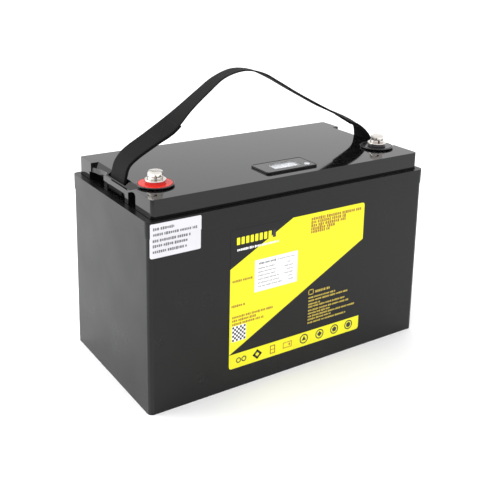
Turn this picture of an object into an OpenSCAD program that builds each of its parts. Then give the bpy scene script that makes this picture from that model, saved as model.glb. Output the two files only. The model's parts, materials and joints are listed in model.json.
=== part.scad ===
// Twelve-volt deep cycle battery: a strapped plastic case around four lithium cells.
// Millimetres, +Z up. The origin is the centre of the case's bottom face. X runs along the
// case, with the positive terminal at -X. Y runs through it, with the labelled face at -Y.

/* [Case] */
// Length over the case rim
case_l = 330; // [329:1:340]
// Depth over the case rim
case_w = 172; // [172:1:178]
// Height of the case rim above the base
rim_z = 187; // [186:1:195]
// Height of the thick band below the rim
band_h = 15.2; // [12:0.2:18]
// How far the band stands proud of the walls
band_proud = 0.9; // [0.6:0.1:1.2]
// Thickness of the case walls
wall = 4.3; // [3.6:0.1:4.3]
// Thickness of the case floor
floor_t = 4; // [3:0.5:4]

/* [Lid] */
// Height of the lid top above the case rim
lid_rise = 18; // [18:0.5:20]
// Step from the rim's outer edge in to the lid, at the ends
lid_step_x = 6.6; // [6:0.1:7]
// Step from the rim's outer edge in to the lid, at the sides
lid_step_y = 5.7; // [5.3:0.1:6]
// Thickness of the lid top and of its skirt
lid_t = 3; // [2.6:0.1:3.2]
// Height of the sunken lip above the rim, at each end of the lid
lip_rise = 13.5; // [13:0.1:14]
// Thickness of the lip and its bar
lip_t = 4.8; // [4.4:0.1:5]
// Depth of the strap pocket, from the end face
pocket_d = 11.4; // [11:0.1:12]

/* [Carry strap] */
// Width of the webbing
web_w = 30; // [25:1:32]
// Thickness of one layer of webbing
web_t = 1.6; // [1.2:0.1:1.7]
// Diameter of the rod in each end loop of the strap
rod_d = 4.4; // [4:0.1:4.4]
// Height of the top of the strap above the base
strap_top = 297; // [285:1:300]

/* [Terminals] */
// Distance of each terminal from the middle of the case, along X
term_x = 134.9; // [130:0.1:136]
// Distance of each terminal from the middle of the case, towards the labelled face
term_y = 42.2; // [40:0.1:44]
// Diameter of the plastic collar
collar_d = 36.4; // [34:0.2:38]
// Diameter of the polarity disc in the collar
disc_d = 32; // [30:0.2:32]
// Diameter of the flat washer
washer_d = 20; // [17:0.5:20]
// Size across the flats of the bolt head
bolt_af = 13; // [12:0.5:13]
// Diameter of the terminal thread
thread_d = 8; // [8]

/* [Display] */
// Length of the display bezel
bezel_l = 61; // [60:0.1:62]
// Width of the display bezel
bezel_w = 31; // [31:0.1:32]
// Height of the bezel above the lid
bezel_h = 2; // [2:0.1:2.5]
// Length of the display window
window_l = 32; // [28:0.5:32]
// Width of the display window
window_w = 15.5; // [14:0.5:15.5]
// Diameter of the push button
button_d = 5.6; // [5:0.1:5.6]
// Travel of the push button
button_travel = 0.5; // [0.3:0.1:0.6]

/* [Labels] */
// Length of the front label
label_l = 162.8; // [140:0.2:164]
// Height of the front label
label_h = 142.3; // [120:0.1:143]
// Length of the small corner label
tag_l = 50.6; // [40:0.2:52]
// Height of the small corner label
tag_h = 32.3; // [30:0.1:33]
// Thickness of the label film
film_t = 0.15; // [0.1:0.05:0.2]

/* [Cells] */
// Thickness of one cell, along X
cell_t = 50; // [48:0.5:50]
// Width of one cell, along Y
cell_w = 160; // [150:1:160]
// Height of one cell without its terminals
cell_h = 118; // [110:1:118]
// Thickness of the sheet between two cells
sheet_t = 1; // [0.5:0.1:1]

/* [Hidden] */
$fn = 64;
eps = 0.01;

// Case
band_z = rim_z - band_h;
body_l = case_l - 2*band_proud;
body_w = case_w - 2*band_proud;
rim_r = 6.5;
body_r = 5;
bay_l = body_l - 2*wall;
bay_w = body_w - 2*wall;
bay_r = 2;
skirt_depth = 8;
ledge_z = rim_z - skirt_depth;
ledge_t = 5;
ledge_reach = 3.4;
foot_recess = 1.2;
foot_border = 13;

// Lid
lid_l = case_l - 2*lid_step_x;
lid_w = case_w - 2*lid_step_y;
lid_top = rim_z + lid_rise;
lid_r = 3;
seal_t = 0.5;
lid_under = lid_top - lid_t;

// Strap pocket in each end of the lid, drawn for the left end
end_x = -lid_l/2;
pocket_x = end_x + pocket_d;
pocket_near = -49;
pocket_far = 56;
pocket_wall = 2.5;
lip_z = rim_z + lip_rise;
lip_under = lip_z - lip_t;
groove_x = end_x + 7;
dish_x = end_x + 8.4;
dish_near = -45;
dish_far = 52;
bar_t = 3;
slot_x0 = end_x + bar_t;
slot_w = 6;
slot_near = -21;
slot_far = 18.5;
near_rib = [-33.7, -26.5];
far_rib = [26.5, 33.7];
far_rib_x = end_x + 6;
scallop_y = 25;
scallop_d = 4.4;
bar_end = 21;

// Strap
anchor_x = -(slot_x0 + slot_w/2);
rod_z = rim_z + 4.3;
rod_l = 44;
loop_clear = 0.1;
loop_r = rod_d/2 + loop_clear + web_t;
swing_z = lid_top + 2;
swing_r = 18;
swing_gap = 0.15;
tail_left = -93;
tail_right = 120;
ribbon_steps = 3;

// Terminals
collar_h = 2.2;
collar_hole_d = 23.4;
boss_d = 23;
post_d = 15;
hub_d = 18.4;
collar_taper = 2;
post_flange_d = 22;
post_top = lid_top + 4.1;
post_bottom = lid_top - 19;
boss_bottom = lid_top - 15;
flat_washer_t = 2;
spring_washer_t = 2.5;
spring_washer_d = 14.4;
spring_gap = 2;
spring_gap_at = -115;
washer_bore_d = 8.5;
bolt_seat = post_top + flat_washer_t + spring_washer_t;
head_h = 5.3;
chamfer_r = 5.8;
chamfer_slope = 0.62;
head_turn = -7;
bolt_l = 16;
thread_gap = 0.05;
lug_thread_d = 6;
lug_thread_l = 10;

// Display
bezel_x = 3.2;
bezel_y = -52.3;
gasket_t = 0.5;
tub_l = 56;
tub_w = 28.6;
tub_depth = 13;
tub_t = 1;
bezel_top = lid_top + bezel_h;
ceiling_z = lid_top + 0.2;
bezel_rim = 1;
panel_drop = 0.3;
window_x = 2.9;
window_y = -52.4;
window_drop = 0.4;
window_lip = 1.5;
button_x = 24.3;
button_y = -61.6;
button_lip = 0.4;
board_z = lid_top - 6.7;
board_t = 1.6;
screen_z = lid_top - 2.7;
screen_l = 35.5;
screen_w = 21;
button_foot = board_z + 4.4;
button_proud = 0.6;
button_dish_r = 12;
button_dish = 0.25;
plunger_r = 1.7;
plunger_foot = 1.1;
plunger_l = 1.7;
switch_h = 1.9;

// Labels
label_x = 1.8;
label_z = 21;
label_r = 3.5;
tag_x = -136.9;
tag_z = 153.1;

// Cell pack
pad_t = 3;
cell_z = floor_t + pad_t;
cell_top = cell_z + cell_h;
cell_pitch = cell_t + sheet_t;
cell_count = 4;
pole_y = 55;
pole_h = 3;
link_z = cell_top + pole_h;
link_t = 2;
stud_r = 3;
stud_top = cell_top + 13;
pack_half = cell_count*cell_pitch/2 - sheet_t/2;
end_plate_t = 3;
band_t = 0.6;
band_w = 16;
top_board_t = 1.6;

// Battery management board
bms_z = stud_top + top_board_t;
standoff_h = 6;
bms_l = 120;
bms_w = 60;
bms_y = 10;
bms_top = bms_z + standoff_h + board_t;
transistor_h = 2.8;
transistor_pitch = 12;
transistor_y = bms_y - 14;
sink_l = 96;
sink_w = 15;
fin_h = 7;
socket_y = bms_y + 22;
screw_at = [54, 24];

// Cables
lug_t = 2;
lug_r = 8;
barrel_r = 4.8;
barrel_drop = 3.2;
cable_r = 4;
lead_r = 0.8;
upper_lug_z = post_bottom - lug_t;
upper_cable_z = upper_lug_z - barrel_drop;
lower_cable_z = link_z + barrel_drop;
cable_start = 12.2;
pole_x = (cell_count - 1)*cell_pitch/2;

abs_black = [0.09, 0.09, 0.10];
strap_black = [0.16, 0.16, 0.15];
label_yellow = [1.0, 0.95, 0.10];
label_white = [0.94, 0.93, 0.97];
signal_red = [0.90, 0.15, 0.12];
nickel = [0.80, 0.78, 0.74];
brass = [0.80, 0.66, 0.32];
copper = [0.80, 0.45, 0.25];
cell_blue = [0.16, 0.36, 0.70];
board_green = [0.08, 0.38, 0.20];
foam_grey = [0.30, 0.30, 0.32];

function cell_x(i) = (i - (cell_count - 1)/2)*cell_pitch;
// Cells face alternate ways, so links step from one side of the pack to the other.
function link_side(i) = i % 2 == 0 ? 1 : -1;

// Smooth curve through a list of points.
function knot(p, i) = p[min(max(i, 0), len(p) - 1)];
function curve_at(a, b, c, d, t) =
    0.5*(2*b + (c - a)*t + (2*a - 5*b + 4*c - d)*t*t + (3*b - a - 3*c + d)*t*t*t);
function smooth(p, n) = concat(
    [for (i = [0:len(p) - 2], s = [0:n - 1])
        curve_at(knot(p, i - 1), p[i], p[i + 1], knot(p, i + 2), s/n)],
    [p[len(p) - 1]]);
function side_of(p, i) =
    let (v = knot(p, i + 1) - knot(p, i - 1))
    [-v.y, v.x]/norm(v);
function reversed(p) = [for (i = [len(p) - 1:-1:0]) p[i]];

// Middle line of the strap, from the left rod up over the lid and down to the right rod.
strap_knots = [
    [-anchor_x, rod_z], [-anchor_x, lid_top - 5], [-anchor_x + 1.4, lid_top + 3], [-147.5, 217],
    [-138, 225.5], [-120, 235.5], [-100, 246.5], [-80, 262.5], [-60, 277.5], [-42, 289.5],
    [-20, strap_top - web_t], [2, 292], [22, 282.5], [45, 269.5], [70, 256], [95, 243],
    [118, 232], [134, 225], [146, 217],
    [anchor_x - 1.4, lid_top + 3], [anchor_x, lid_top - 5], [anchor_x, rod_z]
];
strap_line = smooth(strap_knots, ribbon_steps);

// Box from one corner to the other.
module block(a, b) {
    translate(a) cube(b - a);
}

// Rounded rectangle, centred.
module rounded_rect(l, w, r) {
    square([l - 2*r, w], center = true);
    square([l, w - 2*r], center = true);
    for (x = [-1, 1], y = [-1, 1])
        translate([x*(l/2 - r), y*(w/2 - r)])
            circle(r);
}

// Rounded rectangle standing from z0 to z1.
module slab(l, w, r, z0, z1) {
    translate([0, 0, z0])
        linear_extrude(z1 - z0)
            rounded_rect(l, w, r);
}

module ring(r_out, r_in, z0, z1) {
    difference() {
        translate([0, 0, z0]) cylinder(h = z1 - z0, r = r_out);
        translate([0, 0, z0 - 1]) cylinder(h = z1 - z0 + 2, r = r_in);
    }
}

// Cylinder with its axis from a to b.
module bar(a, b, r) {
    v = b - a;
    translate(a)
        rotate([0, acos(v.z/norm(v)), atan2(v.y, v.x)])
            cylinder(h = norm(v), r = r);
}

// Round cable through a list of points, with a ball at each bend.
module cable(p, r) {
    for (i = [0:len(p) - 2])
        bar(p[i], p[i + 1], r);
    for (i = [1:len(p) - 2])
        translate(p[i])
            sphere(r*1.04);
}

// Outline in X and Z, extruded along Y from y0 to y1.
module across(y0, y1) {
    translate([0, y1, 0])
        rotate([90, 0, 0])
            linear_extrude(y1 - y0)
                children();
}

// Outline in Y and Z, extruded along X from x0 to x1.
module along(x0, x1) {
    translate([x0, 0, 0])
        rotate([90, 0, 90])
            linear_extrude(x1 - x0)
                children();
}

module at_both_ends() {
    children();
    mirror([1, 0, 0]) children();
}

module at_terminal(side) {
    translate([side*term_x, -term_y, 0]) children();
}

module at_bezel() {
    translate([bezel_x, bezel_y, 0]) children();
}

// ---- Case ----

// Outer form of the case, grown by g on its sides.
module case_form(g) {
    slab(body_l + 2*g, body_w + 2*g, body_r + g, 0, rim_z - band_h/2);
    slab(case_l + 2*g, case_w + 2*g, rim_r + g, band_z - g, rim_z);
}

module case_tub() {
    color(abs_black)
    difference() {
        case_form(0);
        slab(bay_l, bay_w, bay_r, floor_t, ledge_z - ledge_t);
        slab(bay_l - 2*ledge_reach, bay_w, bay_r, ledge_z - ledge_t - 1, ledge_z + 1);
        slab(lid_l + 2*seal_t, lid_w + 2*seal_t, lid_r + seal_t, ledge_z, rim_z + 1);
        slab(body_l - 2*foot_border, body_w - 2*foot_border, 10, -1, foot_recess);
    }
}

// ---- Lid ----

module pocket_housing() {
    block([end_x, pocket_near - pocket_wall, rim_z - pocket_wall],
          [pocket_x + pocket_wall, pocket_far + pocket_wall, lid_under + eps]);
}

// Open space under the lip, with a set-back rib left standing behind the far end of the bar.
module pocket_void() {
    difference() {
        block([end_x - 1, near_rib[1], rim_z], [pocket_x, pocket_far, lip_under]);
        block([far_rib_x, far_rib[0], rim_z - 1], [pocket_x + 1, far_rib[1], lid_top]);
    }
}

// Arched groove in the end face, beside the rib that carries the bar.
module end_groove() {
    along(end_x - 1, groove_x)
        polygon([
            [pocket_near, rim_z], [pocket_near, lip_z - 0.5], [pocket_near + 2, lip_z + 1.5],
            [pocket_near + 7, lip_z + 1.5], [near_rib[0], lip_z - 1.5], [near_rib[0], rim_z]
        ]);
}

// Shallow dish that lowers the lid top to the lip.
module lip_dish() {
    intersection() {
        across(dish_near - 1, dish_far + 1)
            polygon([
                [end_x - 1, lip_z], [end_x + 2, lip_z], [dish_x, lid_top],
                [dish_x, lid_top + 1], [end_x - 1, lid_top + 1]
            ]);
        along(end_x - 2, dish_x + 1)
            polygon([
                [dish_near, lid_top], [near_rib[0], lip_z], [dish_far, lip_z],
                [dish_far, lid_top + 2], [dish_near, lid_top + 2]
            ]);
    }
}

// Curved cut that sets the lip's edge back beyond the end of the bar.
module lip_scallop() {
    reach = pocket_far - scallop_y;
    r = (reach*reach + scallop_d*scallop_d)/(2*scallop_d);
    intersection() {
        translate([end_x + scallop_d - r, scallop_y, lip_under - 1])
            cylinder(h = lid_rise, r = r, $fn = 160);
        block([end_x - 1, bar_end, lip_under - 1], [dish_x, dish_far, lid_top + 1]);
    }
}

module lid_shell() {
    color(abs_black)
    difference() {
        union() {
            difference() {
                slab(lid_l, lid_w, lid_r, ledge_z, lid_top);
                slab(lid_l - 2*lid_t, lid_w - 2*lid_t, 1, ledge_z - 1, lid_under);
            }
            at_both_ends() pocket_housing();
        }
        at_both_ends() {
            pocket_void();
            end_groove();
            lip_dish();
            lip_scallop();
            block([slot_x0, slot_near, lip_under - 1],
                  [slot_x0 + slot_w, slot_far, lid_top + 1]);
        }
        for (side = [-1, 1])
            at_terminal(side)
                translate([0, 0, post_bottom - 3])
                    cylinder(h = lid_top - post_bottom + 4, d = collar_hole_d);
        at_bezel() slab(tub_l + 0.4, tub_w + 0.4, 2.2, lid_under - 1, lid_top + 1);
    }
}

module lid_bead() {
    color(strap_black)
    difference() {
        slab(lid_l + 2*seal_t, lid_w + 2*seal_t, lid_r + seal_t, ledge_z + 0.2, rim_z - 0.8);
        slab(lid_l, lid_w, lid_r, ledge_z - 1, rim_z);
    }
}

// ---- Labels ----

// Film on the face of the case, within a window from a to b in X and Z.
module face_film(a, b, r) {
    intersection() {
        across(-case_w/2 - 1, -case_w/2 + 5)
            translate((a + b)/2)
                rounded_rect(b.x - a.x, b.y - a.y, r);
        difference() {
            case_form(film_t);
            case_form(0);
        }
    }
}

module front_film() {
    color(label_yellow)
    face_film([label_x - label_l/2, label_z], [label_x + label_l/2, label_z + label_h], label_r);
}

module corner_film() {
    color(label_white)
    face_film([tag_x - tag_l/2, tag_z], [tag_x + tag_l/2, tag_z + tag_h], 1.5);
}

// ---- Carry strap ----

// Webbing along the strap line. Each end is doubled, where the tail is sewn back.
module webbing() {
    n = len(strap_line);
    inner = [for (i = [0:n - 1])
        let (p = strap_line[i], doubled = p.x < tail_left || p.x > tail_right)
        p - (doubled ? web_t : 0)*side_of(strap_line, i)];
    outer = [for (i = [0:n - 1]) strap_line[i] + web_t*side_of(strap_line, i)];
    across(-web_w/2, web_w/2)
        polygon(concat(outer, reversed(inner)));
}

// Space that stays still when the strap swings: a round about the swing line, and all below it.
module swing_space(r) {
    translate([-case_l/2, 0, swing_z])
        rotate([0, 90, 0])
            cylinder(h = case_l, r = r);
    block([-case_l/2, -web_w, 0], [case_l/2, web_w, swing_z]);
}

module strap_arch() {
    color(strap_black)
    difference() {
        webbing();
        swing_space(swing_r + swing_gap);
    }
}

// End of the strap below the swing line, with the sewn loop around its rod.
module strap_end(side) {
    color(strap_black)
    difference() {
        union() {
            intersection() {
                webbing();
                swing_space(swing_r);
                block([side < 0 ? -case_l : 0, -web_w, rod_z + 2],
                      [side < 0 ? 0 : case_l, web_w, strap_top]);
            }
            across(-web_w/2, web_w/2)
                translate([side*anchor_x, rod_z])
                    circle(loop_r);
        }
        across(-web_w, web_w)
            translate([side*anchor_x, rod_z])
                circle(rod_d/2 + loop_clear);
    }
}

module rods() {
    color(nickel)
    for (side = [-1, 1])
        across(-rod_l/2, rod_l/2)
            translate([side*anchor_x, rod_z])
                circle(d = rod_d);
}

// ---- Terminals ----

// Plastic collar that holds the terminal post in the lid.
module collar(side) {
    color(abs_black)
    at_terminal(side)
    difference() {
        union() {
            translate([0, 0, lid_top])
                cylinder(h = collar_h, d1 = collar_d - collar_taper, d2 = collar_d);
            translate([0, 0, boss_bottom]) cylinder(h = lid_top - boss_bottom + eps, d = boss_d);
        }
        translate([0, 0, lid_top + collar_h/2]) cylinder(h = collar_h, d = disc_d + 0.2);
        translate([0, 0, boss_bottom - 1]) cylinder(h = lid_rise + 10, d = post_d);
    }
}

// Coloured disc that marks the terminal, in the collar's recess, with a hub round the post.
module polarity_disc(side, tint) {
    color(tint)
    at_terminal(side)
    difference() {
        union() {
            translate([0, 0, lid_top + collar_h/2])
                cylinder(h = collar_h/2 + 0.2, d = disc_d);
            translate([0, 0, lid_top + collar_h/2])
                cylinder(h = post_top - 0.1 - lid_top - collar_h/2, d = hub_d);
        }
        translate([0, 0, lid_top]) cylinder(h = 10, r = post_d/2 + 0.2);
    }
}

// Threaded, plated post: a blind thread on top for the bolt, one below for the inner lug.
module post(side) {
    color(nickel)
    at_terminal(side)
    difference() {
        union() {
            translate([0, 0, post_bottom])
                cylinder(h = post_top - post_bottom, d = post_d - 0.2);
            translate([0, 0, post_bottom])
                cylinder(h = boss_bottom - post_bottom - 0.1, d = post_flange_d);
        }
        translate([0, 0, bolt_seat - bolt_l - 1])
            cylinder(h = bolt_l + 2, r = thread_d/2);
        translate([0, 0, post_bottom - 1])
            cylinder(h = 1 + 0.8*lug_thread_l, r = lug_thread_d/2);
    }
}

module flat_washer(side) {
    color(nickel)
    at_terminal(side)
        ring(washer_d/2, washer_bore_d/2, post_top, post_top + flat_washer_t);
}

// Split spring washer.
module spring_washer(side) {
    z0 = post_top + flat_washer_t;
    color(nickel)
    at_terminal(side)
    difference() {
        ring(spring_washer_d/2, washer_bore_d/2, z0, bolt_seat);
        rotate([0, 0, spring_gap_at])
            translate([0, -spring_gap/2, z0 - 1])
                cube([spring_washer_d, spring_gap, spring_washer_t + 2]);
    }
}

// Hexagon bolt with a chamfered head.
module bolt(side) {
    corner_r = bolt_af/2/cos(30);
    color(nickel)
    at_terminal(side)
    rotate([0, 0, head_turn]) {
        intersection() {
            translate([0, 0, bolt_seat]) cylinder(h = head_h, r = corner_r, $fn = 6);
            translate([0, 0, bolt_seat])
                cylinder(h = head_h, r1 = chamfer_r + head_h/chamfer_slope, r2 = chamfer_r);
        }
        translate([0, 0, bolt_seat - bolt_l])
            cylinder(h = bolt_l + eps, r = thread_d/2 - thread_gap);
    }
}

// ---- Display ----

module gasket() {
    color(strap_black)
    at_bezel()
    difference() {
        slab(bezel_l - 0.6, bezel_w - 0.6, 2.7, lid_top, lid_top + gasket_t);
        slab(tub_l + 0.4, tub_w + 0.4, 2.2, lid_top - 1, lid_top + 1);
    }
}

module bezel() {
    color(abs_black)
    difference() {
        at_bezel()
        difference() {
            union() {
                slab(bezel_l, bezel_w, 3, lid_top + gasket_t, bezel_top);
                slab(tub_l, tub_w, 2, lid_top - tub_depth, lid_top + 1);
            }
            slab(tub_l - 2*tub_t, tub_w - 2*tub_t, 1, lid_top - tub_depth - 1, ceiling_z);
            slab(bezel_l - 2*bezel_rim, bezel_w - 2*bezel_rim, 2, bezel_top - panel_drop,
                 bezel_top + 1);
        }
        translate([window_x, window_y, 0]) {
            slab(window_l + 0.2, window_w + 0.2, 0.6, ceiling_z - 1, bezel_top + 1);
            slab(window_l + 2*window_lip + 0.2, window_w + 2*window_lip + 0.2, 0.6,
                 ceiling_z - 1, ceiling_z + 0.8);
        }
        translate([button_x, button_y, ceiling_z - 1])
            cylinder(h = bezel_top - ceiling_z + 2, d = button_d + 0.2);
    }
}

module window() {
    color([0.75, 0.80, 0.82, 0.4])
    translate([window_x, window_y, 0]) {
        slab(window_l, window_w, 0.5, ceiling_z, bezel_top - window_drop);
        slab(window_l + 2*window_lip, window_w + 2*window_lip, 0.5,
             ceiling_z - 0.2, ceiling_z + 0.7);
    }
}

module screen() {
    color([0.62, 0.68, 0.64])
    translate([window_x, window_y, 0])
        slab(screen_l, screen_w, 0.4, screen_z, ceiling_z - 0.3);
}

module backlight() {
    color([0.92, 0.92, 0.90])
    translate([window_x, window_y, 0])
        slab(screen_l - 1, screen_w - 1, 0.4, board_z + board_t, screen_z);
}

module display_board() {
    color(board_green)
    at_bezel() slab(tub_l - 2*tub_t - 0.6, tub_w - 2*tub_t - 0.6, 1, board_z, board_z + board_t);
}

// Button cap, held under the bezel by its rim.
module button_cap() {
    color([0.90, 0.90, 0.92])
    translate([button_x, button_y, 0])
    difference() {
        union() {
            translate([0, 0, button_foot])
                cylinder(h = bezel_top + button_proud - button_foot, d = button_d);
            translate([0, 0, ceiling_z - 0.9]) cylinder(h = 0.8, d = button_d + 2*button_lip);
        }
        translate([0, 0, bezel_top + button_proud + button_dish_r - button_dish])
            sphere(r = button_dish_r);
    }
}

module plunger() {
    color(abs_black)
    translate([button_x, button_y, board_z + board_t + plunger_foot])
        cylinder(h = plunger_l, r = plunger_r);
}

module switch_body() {
    color([0.25, 0.25, 0.27])
    translate([button_x, button_y, 0])
    difference() {
        block([-2.6, -3, board_z + board_t], [2.6, 3, board_z + board_t + switch_h]);
        translate([0, 0, board_z + board_t + plunger_foot - button_travel - 0.1])
            cylinder(h = switch_h, r = plunger_r + 0.05);
    }
}

// ---- Cell pack ----

module cell(i) {
    color(cell_blue)
    translate([cell_x(i), 0, 0])
    difference() {
        slab(cell_t, cell_w, 3, cell_z, cell_top);
        ring(9, 8.4, cell_top - 0.6, cell_top + 1);
    }
}

// Pole pads with their studs, two on each cell.
module poles() {
    color(nickel)
    for (i = [0:cell_count - 1], y = [-pole_y, pole_y])
        translate([cell_x(i), y, 0]) {
            translate([0, 0, cell_top]) cylinder(h = pole_h, r = 9);
            translate([0, 0, cell_top + pole_h - eps])
                cylinder(h = stud_top - cell_top - pole_h + eps, r = stud_r);
        }
}

module sheets() {
    color([0.85, 0.85, 0.80])
    for (i = [0:cell_count - 2])
        translate([cell_x(i) + cell_pitch/2, 0, 0])
            block([-sheet_t/2, -cell_w/2 + 2, cell_z], [sheet_t/2, cell_w/2 - 2, cell_top - 2]);
}

// Copper links that join neighbouring cells in series.
module links() {
    color(copper)
    for (i = [0:cell_count - 2])
        translate([cell_x(i) + cell_pitch/2, link_side(i)*pole_y, 0])
        difference() {
            slab(cell_pitch + 18, 18, 4, link_z, link_z + link_t);
            for (x = [-cell_pitch/2, cell_pitch/2])
                translate([x, 0, link_z - 1])
                    cylinder(h = link_t + 2, r = stud_r + 0.2);
        }
}

module nuts() {
    color(nickel)
    for (i = [0:cell_count - 1], y = [-pole_y, pole_y])
        translate([cell_x(i), y, link_z + link_t])
        difference() {
            cylinder(h = 5, r = 5.77, $fn = 6);
            translate([0, 0, -1]) cylinder(h = 7, r = stud_r + thread_gap);
        }
}

module end_boards() {
    color([0.78, 0.72, 0.45])
    at_both_ends()
        block([-pack_half - end_plate_t, -cell_w/2 + 2, cell_z],
              [-pack_half, cell_w/2 - 2, cell_top - 2]);
}

module bands() {
    l = 2*(pack_half + end_plate_t);
    color(strap_black)
    for (z = [cell_z + 22, cell_top - 38])
        difference() {
            slab(l + 2*band_t, cell_w + 2*band_t, 1, z, z + band_w);
            slab(l, cell_w, 0.4, z - 1, z + band_w + 1);
        }
}

module insulating_board() {
    color([0.80, 0.74, 0.48])
        slab(2*pack_half - 6, cell_w - 14, 3, stud_top, stud_top + top_board_t);
}

// ---- Battery management ----

module at_bms_corners() {
    for (x = [-screw_at.x, screw_at.x], y = [-screw_at.y, screw_at.y])
        translate([x, bms_y + y, 0]) children();
}

module bms_plate() {
    color(board_green)
    difference() {
        translate([0, bms_y, 0]) slab(bms_l, bms_w, 2, bms_top - board_t, bms_top);
        at_bms_corners() translate([0, 0, bms_z]) cylinder(h = standoff_h + 5, r = 1.7);
    }
}

module standoffs() {
    color(brass)
    at_bms_corners() ring(3, 1.5, bms_z, bms_z + standoff_h);
}

module bms_fixings() {
    color(nickel)
    at_bms_corners() {
        translate([0, 0, bms_top]) cylinder(h = 2, r = 2.8);
        translate([0, 0, bms_top - 5]) cylinder(h = 5 + eps, r = 1.45);
    }
}

module transistors() {
    color([0.12, 0.12, 0.13])
    for (i = [0:7])
        translate([(i - 3.5)*transistor_pitch, transistor_y, 0])
            block([-4.5, -5, bms_top], [4.5, 5, bms_top + transistor_h]);
}

module heat_sink() {
    z0 = bms_top + transistor_h;
    color([0.75, 0.76, 0.78])
    translate([0, transistor_y, 0]) {
        block([-sink_l/2, -sink_w/2, z0], [sink_l/2, sink_w/2, z0 + 2]);
        for (y = [-sink_w/2, -sink_w/6, sink_w/6])
            block([-sink_l/2, y, z0 + 2 - eps], [sink_l/2, y + 1.5, z0 + 2 + fin_h]);
    }
}

module socket() {
    color([0.93, 0.93, 0.88])
    translate([0, socket_y, bms_top])
    difference() {
        block([-9, -3.5, 0], [9, 3.5, 7]);
        block([-7.5, -2, 2], [7.5, 2, 8]);
    }
}

// Five sensing leads, one to each junction of the cell string.
module balance_wires() {
    color(signal_red)
    for (i = [0:cell_count])
        let (
            x = (i - cell_count/2)*cell_pitch*0.94,
            from = [(i - 2)*2.6, socket_y, bms_top + 3],
            above = [(i - 2)*2.6, socket_y, bms_top + 14],
            over = [x, cell_w/2 - 3, bms_top + 8]
        )
        cable([from, above, over, [x, cell_w/2 - 3, link_z - 1]], lead_r);
}

module probe() {
    color([0.10, 0.10, 0.10])
    translate([0, 30, 0]) {
        bar([12, 0, cell_top + 2], [26, 0, cell_top + 2], 2);
        cable([[25, 0, cell_top + 2], [36, 0, cell_top + 4], [40, 0, stud_top - 2]], lead_r);
    }
}

// ---- Cables ----

// Ring lug on an upright stud, with its barrel along X.
module lug(at, dir, stud, barrel_z) {
    translate(at)
    difference() {
        union() {
            cylinder(h = lug_t, r = lug_r);
            block([min(0, dir*16), -5, 0], [max(0, dir*16), 5, lug_t]);
            translate([dir*10, 0, barrel_z])
                rotate([0, dir*90, 0])
                    cylinder(h = 16, r = barrel_r);
        }
        translate([0, 0, -1]) cylinder(h = lug_t + 2, r = stud + 0.2);
        translate([dir*12, 0, barrel_z])
            rotate([0, dir*90, 0])
                cylinder(h = 20, r = cable_r + 0.05);
    }
}

module lugs() {
    color(copper) {
        lug([-term_x, -term_y, upper_lug_z], 1, lug_thread_d/2, -barrel_drop);
        lug([term_x, -term_y, upper_lug_z], -1, lug_thread_d/2, -barrel_drop);
        lug([-pole_x, -pole_y, link_z], -1, stud_r, barrel_drop);
        lug([pole_x, -pole_y, link_z], 1, stud_r, barrel_drop);
    }
}

module lug_fixings() {
    color(nickel)
    for (side = [-1, 1])
        at_terminal(side) {
            translate([0, 0, upper_lug_z - 4]) cylinder(h = 4, r = 5.77, $fn = 6);
            translate([0, 0, upper_lug_z - eps])
                cylinder(h = lug_t + 0.7*lug_thread_l, r = lug_thread_d/2 - thread_gap);
        }
}

// Cable from the lug under a terminal down to the lug on the end cell's pole.
module positive_lead() {
    color(signal_red)
    cable([
        [-term_x + cable_start, -term_y, upper_cable_z], [-100, -term_y, upper_cable_z],
        [-92, -46, upper_cable_z - 16], [-112, -52, lower_cable_z + 18],
        [-119, -pole_y, lower_cable_z + 6], [-108, -pole_y, lower_cable_z],
        [-pole_x - cable_start, -pole_y, lower_cable_z]
    ], cable_r);
}

// Cable from the negative terminal to the management board.
module negative_lead() {
    color(strap_black)
    cable([
        [term_x - cable_start, -term_y, upper_cable_z], [100, -term_y, upper_cable_z],
        [84, -30, bms_top + 16], [66, -2, bms_top + 6], [56, bms_y, bms_top + cable_r + 0.4]
    ], cable_r);
}

// Cable from the last cell's pole to the management board.
module bms_lead() {
    color(strap_black)
    cable([
        [pole_x + cable_start, -pole_y, lower_cable_z], [108, -pole_y + 0.06, lower_cable_z],
        [110, -30, bms_top + 2], [94, -8, bms_top + 10], [57, 20, bms_top + cable_r + 0.4]
    ], cable_r);
}

module display_lead() {
    color(strap_black)
    for (x = [-2, 2])
        cable([
            [x, bezel_y, board_z - 0.1], [x, bezel_y, board_z - 20], [x, -34, bms_top + 16],
            [x, bms_y - 26, bms_top + 1]
        ], lead_r);
}

// ---- Packing ----

module floor_pad() {
    color(foam_grey) slab(bay_l - 2, bay_w - 2, bay_r, floor_t, cell_z);
}

module end_blocks() {
    gap = 2;
    color(foam_grey)
    at_both_ends()
        block([-bay_l/2 + gap, -cell_w/2 + 2, cell_z],
              [-pack_half - end_plate_t - gap, cell_w/2 - 2, cell_top - 6]);
}

case_tub();  // case
lid_shell();  // lid
lid_bead();  // lid_seal
front_film();  // front_label
corner_film();  // corner_label
strap_arch();  // carry_strap
strap_end(-1);  // strap_loop_left
strap_end(1);  // strap_loop_right
rods();  // strap_rods
collar(-1);  // positive_collar
polarity_disc(-1, signal_red);  // positive_disc
post(-1);  // positive_post
bolt(-1);  // positive_bolt
spring_washer(-1);  // positive_spring_washer
flat_washer(-1);  // positive_flat_washer
collar(1);  // negative_collar
polarity_disc(1, abs_black);  // negative_disc
post(1);  // negative_post
bolt(1);  // negative_bolt
spring_washer(1);  // negative_spring_washer
flat_washer(1);  // negative_flat_washer
gasket();  // display_gasket
bezel();  // display_bezel
window();  // display_window
screen();  // display_screen
backlight();  // display_backlight
display_board();
switch_body();  // button_switch
button_cap();  // display_button
plunger();  // switch_plunger
cell(0);  // cell_1
cell(1);  // cell_2
cell(2);  // cell_3
cell(3);  // cell_4
poles();  // cell_terminals
sheets();  // cell_sheets
links();  // cell_links
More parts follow.
